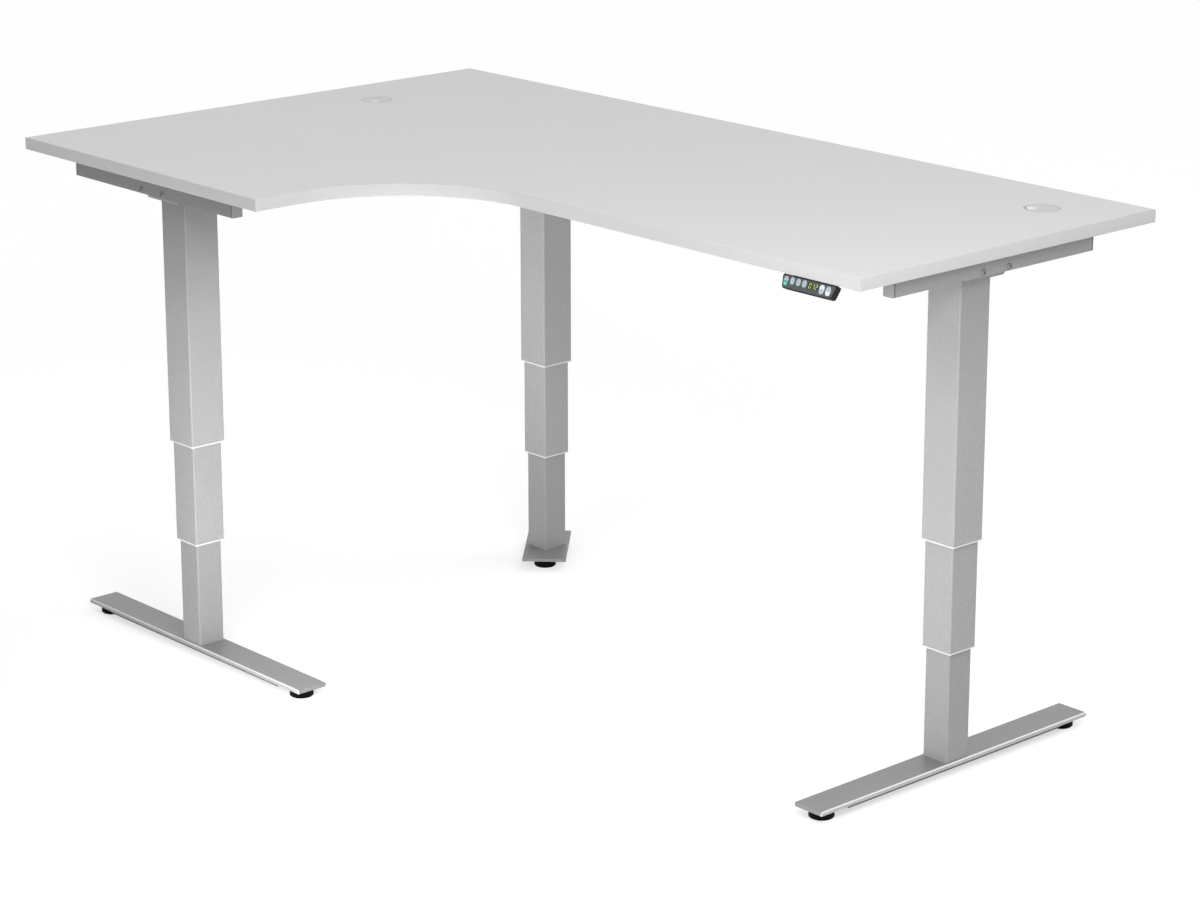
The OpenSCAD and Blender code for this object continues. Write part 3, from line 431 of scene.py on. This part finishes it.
# Nodes whose finish isn't the one that their slot names
OWN_FINISH = {
    # Painted light and shade: the outer and lower tubes, the rails and the corner foot take lighter and darker
    # copies of the one silver paint, the feet a painted edge highlight, and the foot bars and fasteners darker
    # paint as painted shade
    "left_outer_tube": "left_outer", "right_outer_tube": "right_outer",
    "corner_lower_tube": "silver_painted_half_shade", "left_lower_tube": "silver_painted_half_shade",
    "right_lower_tube": "silver_painted_half_shade",
    "left_rail": "silver_painted_shade", "right_rail": "silver_painted_half_shade", "corner_foot": "silver_painted_shade",
    "rail_end_caps": "cap",
    "left_foot": "left_foot", "right_foot": "right_foot",
    "left_foot_bar": "foot_bar", "right_foot_bar": "foot_bar",
    "frame_fasteners": "bolt", "grommet_sleeves": "grommet_ring",
    "handset_key_up": "key_up", "handset_key_down": "key_down",
    **{name: "pad" for name in NODES if "_glide_" in name},
}


def dress():
    """Every CAD node takes the finish of its slot, or the one that OWN_FINISH gives it."""
    for name, obj in NODES.items():
        for slot in obj.material_slots:
            own_slot = slot.material.name.split(".")[0]
            slot.material = finishes[OWN_FINISH.get(name, own_slot)]


# ---- mesh helpers ----------------------------------------------------------

def link(name, data):
    """A new object in the scene."""
    obj = bpy.data.objects.new(name, data)
    bpy.context.scene.collection.objects.link(obj)
    return obj


def finished(name, work, body, material):
    """A bmesh as a piece: shaded smooth up to its edges, riding on a body, with its finish."""
    mesh = bpy.data.meshes.new(name)
    work.to_mesh(mesh)
    work.free()
    for polygon in mesh.polygons:
        polygon.use_smooth = True
    mesh.set_sharp_from_angle(angle=SHARP)
    mesh.materials.append(finishes[material])
    piece = link(name, mesh)
    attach(piece, body)
    return piece


def body_of(node):
    """The body that a CAD node rides on."""
    return next(b for b, members in RECORD["behaviour"]["bodies"].items() if node in members)


def bridge(work, lower, upper):
    """Faces between two closed rows of points."""
    for i in range(len(lower)):
        j = (i + 1) % len(lower)
        work.faces.new((lower[i], lower[j], upper[j], upper[i]))


def plate(work, outline, low, high, ease=0.0):
    """An outline of (x, y) points as a plate from low to high, its upper rim eased."""
    rings = [(0.0, low), (0.0, high - ease)]
    if ease:
        rings.append((ease, high))
    centre = Vector((sum(p[0] for p in outline), sum(p[1] for p in outline))) / len(outline)
    rows = []
    for inset, z in rings:
        row = []
        for p in outline:
            arm = Vector(p) - centre
            arm *= 1 - inset / max(arm.length, inset)
            row.append(work.verts.new((centre.x + arm.x, centre.y + arm.y, z)))
        rows.append(row)
    for lower, upper in zip(rows, rows[1:]):
        bridge(work, lower, upper)
    work.faces.new(rows[-1])
    work.faces.new(list(reversed(rows[0])))


def rounded_box(width, height, radius, x=0.0, y=0.0, steps=CORNER_STEPS):
    """Outline of a rounded rectangle round (x, y)."""
    points = []
    for corner, (sx, sy) in enumerate(((1, 1), (-1, 1), (-1, -1), (1, -1))):
        for i in range(steps + 1):
            angle = math.radians(90 * (corner + i / steps))
            points.append((x + sx * (width / 2 - radius) + radius * math.cos(angle),
                           y + sy * (height / 2 - radius) + radius * math.sin(angle)))
    return points


# ---- edging of the worktop -------------------------------------------------

def level(edge, z):
    """True for an edge that lies at height z."""
    return all(abs(v.co.z - z) < SAME_LEVEL for v in edge.verts)


def side_normal(edge):
    """The level normal of the upright face at an edge, or None."""
    upright = [f.normal for f in edge.link_faces if abs(f.normal.z) < UPRIGHT]
    return upright[0] if len(upright) == 1 else None


def inside_top(point):
    """Whether a point seen from above lies on the board."""
    board = NODES["worktop"]
    start = Vector((point.x, point.y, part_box("worktop")[1].z + PROBE_HEIGHT))
    hit, *_ = board.ray_cast(start, Vector((0, 0, -1)))
    return hit


def edge_band(node):
    """The edging again, with its outer edges eased."""
    low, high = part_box(node)
    probe = (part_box("worktop")[0].x - low.x) * EDGE_PROBE

    def outer(edge):
        """The wall at the edge looks away from the board, and the edge is at its top or foot."""
        normal = side_normal(edge)
        if normal is None or not (level(edge, low.z) or level(edge, high.z)):
            return False
        middle = (edge.verts[0].co + edge.verts[1].co) / 2
        return not inside_top(middle + normal * probe)

    work = bmesh.new()
    work.from_mesh(NODES[node].data)
    bmesh.ops.remove_doubles(work, verts=work.verts, dist=WELD)
    bmesh.ops.dissolve_limit(work, angle_limit=FLAT, verts=work.verts, edges=work.edges)
    picked = [e for e in work.edges if len(e.link_faces) == 2 and outer(e)]
    bmesh.ops.bevel(work, geom=picked, offset=EDGE_ROUND, segments=EDGE_STEPS, profile=0.5,
                    affect="EDGES", clamp_overlap=True)
    work.normal_update()
    piece = finished("rounded_edge_band", work, body_of(node), "board_edge")
    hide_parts(node)


# ---- grommet caps ----------------------------------------------------------

def slot_path():
    """The line round a cable slot, in its cap's own frame with x towards the slot:
    (place, direction away from the slot) pairs."""
    ends = [(Vector((SLOT_END, side * SLOT_RADIUS, 0)), Vector((0, side, 0))) for side in (-1, 1)]
    arc = []
    for i in range(SLOT_STEPS + 1):
        angle = -math.pi / 2 - math.pi * i / SLOT_STEPS
        away = Vector((math.cos(angle), math.sin(angle), 0))
        arc.append((Vector((SLOT_FROM_AXIS, 0, 0)) + away * SLOT_RADIUS, away))
    return [ends[0], *arc, ends[1]]


def opening(name):
    """Lowest and highest corner of one of the record's openings."""
    return next(o["box_m"] for o in RECORD["physics"]["openings"] if o["name"] == name)


def slot_wall(side):
    """The wall round the cable slot of a cap, near-white as a painted highlight."""
    cap = side + "_grommet_cap"
    low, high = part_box(cap)
    axis = Vector(((low.x + high.x) / 2, (low.y + high.y) / 2, high.z))
    out = Vector([(a + b) / 2 for a, b in zip(*opening(side + "_cable_slot"))]) - axis
    place = Matrix.Translation(axis) @ Matrix.Rotation(math.atan2(out.y, out.x), 4, "Z")
    work = bmesh.new()
    rows = [[work.verts.new(place @ (spot + away * x + Vector((0, 0, z)))) for x, z in WALL_SECTION]
            for spot, away in slot_path()]
    for near, far in zip(rows, rows[1:]):
        bridge(work, near, far)
    work.faces.new(rows[0])
    work.faces.new(rows[-1])
    bmesh.ops.recalc_face_normals(work, faces=work.faces)
    finished(side + "_slot_wall", work, body_of(cap), "slot_wall")


# ---- seams of the rails ----------------------------------------------------

# A plate's own x, y and z as the desk's axes, for a rail along X or along Y
TURNS = (Matrix(((0, 0, 1), (1, 0, 0), (0, 1, 0))), Matrix(((1, 0, 0), (0, 0, 1), (0, 1, 0))))


def rail_seams(rail, along):
    """A dark filling between each end of a rail and its cap. along is 0 for X, 1 for Y."""
    low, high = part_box(rail)
    middle = (low + high) / 2
    across = 1 - along
    width = high[across] - low[across] - 2 * SEAM_IN
    height = high.z - low.z - 2 * SEAM_IN
    work = bmesh.new()
    for start in (low[along] - SEAM, high[along]):
        plate(work, rounded_box(width, height, SEAM_CORNER),
              start - middle[along], start - middle[along] + SEAM)
    work.transform(Matrix.Translation(middle) @ TURNS[along].to_4x4())
    bmesh.ops.recalc_face_normals(work, faces=work.faces)
    finished(rail + "_seams", work, body_of(rail), "seam")


# ---- handset display and signs ---------------------------------------------

# Segments of a digit as pairs of corner numbers: 0 1 at the top, 2 3 in the middle, 4 5 below
SEGMENTS = {"a": (0, 1), "b": (1, 3), "c": (3, 5), "d": (5, 4),
            "e": (4, 2), "f": (2, 0), "g": (2, 3)}
DIGITS = {"0": "abcdef", "7": "abc", "2": "abged"}


def face_frame(node, out):
    """The face of a node that looks along out: x along the desk, y up the face, z out of it,
    from the middle of the face."""
    along = Vector((1, 0, 0))
    up = out.cross(along)
    points = [v.co for v in NODES[node].data.vertices]

    def middle(axis):
        spans = [p.dot(axis) for p in points]
        return (min(spans) + max(spans)) / 2

    front = max(p.dot(out) for p in points)
    axes = Matrix((along, up, out)).transposed().to_4x4()
    return Matrix.Translation(along * middle(along) + up * middle(up) + out * front) @ axes


def bar_outline(start, end, width):
    """A straight stroke with pointed ends, as a display segment has."""
    way = (end - start).normalized() * (width / 2)
    side = Vector((-way.y, way.x))
    return [start, start + way - side, end - way - side, end, end - way + side, start + way + side]


def shown(name, face, body, material, build):
    """A small piece that build(work) draws in a face's own frame."""
    work = bmesh.new()
    build(work)
    work.transform(face)
    work.normal_update()
    finished(name, work, body, material)


def digit(work, letter, x, y):
    """One digit of the display round (x, y), leaning a little."""
    width, height = DIGIT_SIZE
    corners = [Vector((x + column * width / 2 + row * height / 2 * DIGIT_LEAN,
                       y + row * height / 2)) for row in (1, 0, -1) for column in (-1, 1)]
    for name in DIGITS[letter]:
        start, end = (corners[i] for i in SEGMENTS[name])
        gap = (end - start).normalized() * DIGIT_STROKE * SEGMENT_GAP
        plate(work, bar_outline(start + gap, end - gap, DIGIT_STROKE),
              WINDOW_RISE - INK_SUNK, WINDOW_RISE + INK_RISE)


def display(face):
    """A dark glossy window with three lit digits."""
    x, y = WINDOW_PLACE

    def glass(work):
        plate(work, rounded_box(*WINDOW_SIZE, WINDOW_CORNER, x, y),
              -WINDOW_SUNK, WINDOW_RISE, WINDOW_EASE)

    def digits(work):
        for i, letter in enumerate("072"):
            digit(work, letter, x + (i - 1) * DIGIT_PITCH, y)

    shown("display_window", face, "desk_top", "window", glass)
    shown("display_digits", face, "desk_top", "digit", digits)


def written(name, text, height, face, body):
    """A letter or number printed on a key, as thin raised ink."""
    curve = bpy.data.curves.new(name, "FONT")
    curve.body = text
    curve.size = height
    curve.extrude = LETTER_HALF
    curve.align_x = "CENTER"
    curve.align_y = "CENTER"
    curve.resolution_u = LETTER_STEPS
    source = link(name + "_text", curve)
    mesh = bpy.data.meshes.new_from_object(source)
    bpy.data.objects.remove(source)
    mesh.transform(face @ Matrix.Translation((0, 0, LETTER_BASE)))
    mesh.materials.clear()
    mesh.materials.append(finishes["ink"])
    mesh.name = name
    piece = link(name, mesh)
    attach(piece, body)


def sign(work, outline):
    """An outline printed on the panel or on a key."""
    plate(work, outline, -INK_SUNK, INK_RISE)


def arrow(work, way):
    """A chevron that points up for way 1 and down for way -1."""
    half, tip, thick = ARROW_HALF, ARROW_HALF * ARROW_RISE / 2, ARROW_HALF * ARROW_THICK
    for side in (-1, 1):
        outline = [(0, way * tip), (side * half, -way * tip),
                   (side * half, -way * (tip + thick)), (0, way * (tip - thick))]
        if side * way > 0:
            outline.reverse()
        sign(work, outline)


def padlock(work):
    """An outline sign of a lock: a body and a bow."""
    sign(work, rounded_box(*LOCK_SIZE, LOCK_CORNER, 0, LOCK_Y, SMALL_STEPS))
    for i in range(BOW_STEPS):
        arc = [math.pi * (i + j) / BOW_STEPS for j in (0, 1)]
        sign(work, [((BOW_RADIUS + r) * math.cos(a), BOW_Y + (BOW_RADIUS + r) * math.sin(a))
                    for r, order in ((BOW_THICK / 2, arc), (-BOW_THICK / 2, arc[::-1]))
                    for a in order])


def ticks(work):
    """Short lines on the panel, between its groups of keys."""
    for x in TICKS_X:
        sign(work, rounded_box(*TICK_SIZE, TICK_SIZE[1] * TICK_ROUND, x, TICK_Y, SMALL_STEPS))


def handset_marks():
    """The display, the signs on the keys and the lines on the panel."""
    press = next(j for j in frame["joints"] if j["child"] == "handset_key_1")["axis"]
    out = -Vector(press).normalized()
    panel_face = face_frame("handset_panel", out)
    display(panel_face)
    for mark, text, height in (("1", "1", NUMBER_SIZE), ("2", "2", NUMBER_SIZE),
                               ("3", "3", NUMBER_SIZE), ("save", "M", SAVE_SIZE)):
        key = "handset_key_" + mark
        written("sign_" + mark, text, height, face_frame(key, out), key)
    for name, mark, slot, material, build in (
            ("sign_lock", "lock", "key_teal", "ink_teal", padlock),
            ("sign_key_up", "up", "key_pale", "ink", lambda work: arrow(work, 1)),
            ("sign_key_down", "down", "key_pale", "ink", lambda work: arrow(work, -1))):
        key = "handset_key_" + mark
        shown(name, face_frame(key, out), key, material, build)
    shown("panel_ticks", panel_face, "desk_top", "ink_pale", ticks)


dress()
edge_band("edge_band")
slot_wall("left")
slot_wall("right")
rail_seams("left_rail", 0)
rail_seams("right_rail", 1)
handset_marks()


# ---- lights, floor and camera ----------------------------------------------

def sees_background(tree):
    """1 for a ray that should meet plain white instead of the light of the surroundings."""
    path = tree.nodes.new("ShaderNodeLightPath").outputs
    total = path["Is Camera Ray"]
    for name in ("Is Glossy Ray", "Is Transmission Ray"):
        add = tree.nodes.new("ShaderNodeMath")
        add.operation = "MAXIMUM"
        tree.links.new(total, add.inputs[0])
        tree.links.new(path[name], add.inputs[1])
        total = add.outputs[0]
    return total


def chosen(tree, factor, first, second):
    """A shader that is first where factor is 0, and second where it is 1."""
    mix = tree.nodes.new("ShaderNodeMixShader")
    tree.links.new(factor, mix.inputs["Fac"])
    tree.links.new(first.outputs[0], mix.inputs[1])
    tree.links.new(second.outputs[0], mix.inputs[2])
    return mix.outputs[0]


def surroundings():
    """Soft light from all round, and plain white behind the desk."""
    world = bpy.data.worlds.new("surroundings")
    bpy.context.scene.world = world
    world.use_nodes = True
    tree = world.node_tree
    light = tree.nodes["Background"]
    light.inputs["Color"].default_value = WHITE
    light.inputs["Strength"].default_value = SKY
    white = tree.nodes.new("ShaderNodeBackground")
    white.inputs["Color"].default_value = WHITE
    tree.links.new(chosen(tree, sees_background(tree), light, white),
                   tree.nodes["World Output"].inputs["Surface"])


def floor_finish():
    """Pale to the light, and white with a light shadow to the camera."""
    material = bpy.data.materials.new("floor")
    material.use_nodes = True
    tree = material.node_tree
    tree.nodes.remove(tree.nodes["Principled BSDF"])
    pale = tree.nodes.new("ShaderNodeBsdfDiffuse")
    pale.inputs["Color"].default_value = grey(FLOOR_PALE)
    shaded = tree.nodes.new("ShaderNodeBsdfDiffuse")
    shaded.inputs["Color"].default_value = grey(FLOOR_SHADED)
    glow = tree.nodes.new("ShaderNodeEmission")
    glow.inputs["Strength"].default_value = FLOOR_GLOW
    both = tree.nodes.new("ShaderNodeAddShader")
    tree.links.new(shaded.outputs[0], both.inputs[0])
    tree.links.new(glow.outputs[0], both.inputs[1])
    to_camera = tree.nodes.new("ShaderNodeLightPath").outputs["Is Camera Ray"]
    tree.links.new(chosen(tree, to_camera, pale, both),
                   tree.nodes["Material Output"].inputs["Surface"])
    return material


def floor():
    """A wide square under the desk."""
    mesh = bpy.data.meshes.new("floor")
    mesh.from_pydata([(x * FLOOR_HALF, y * FLOOR_HALF, 0)
                      for x, y in ((-1, -1), (1, -1), (1, 1), (-1, 1))], [], [(0, 1, 2, 3)])
    mesh.materials.append(floor_finish())
    link("floor", mesh)


def aim(obj, place, target):
    """Puts a lamp at a place so that it shines at a target, unseen by the camera."""
    obj.location = place
    obj.rotation_euler = (Vector(target) - Vector(place)).to_track_quat("-Z", "Y").to_euler()
    obj.visible_camera = False


def lamps():
    for name, place, strength, spread in SUNS:
        data = bpy.data.lights.new(name, "SUN")
        data.energy = strength
        data.angle = math.radians(spread)
        aim(link(name, data), place, (0, 0, 0))
    for name, place, target, size, power, spread in BOXES:
        data = bpy.data.lights.new(name, "AREA")
        data.shape = "RECTANGLE"
        data.size, data.size_y = size
        data.energy = power
        data.spread = math.radians(spread)
        lamp = link(name, data)
        lamp.visible_glossy = False     # no white reflection of it on the board
        aim(lamp, place, target)


def camera():
    data = bpy.data.cameras.new("camera")
    data.lens = CAMERA_LENS
    data.shift_y = CAMERA_SHIFT
    obj = link("camera", data)
    obj.location = CAMERA_PLACE
    obj.rotation_euler = (math.radians(90 - CAMERA_PITCH), 0, math.radians(CAMERA_YAW))
    bpy.context.scene.camera = obj


bpy.context.scene.view_settings.view_transform = "Standard"
surroundings()
floor()
lamps()
camera()
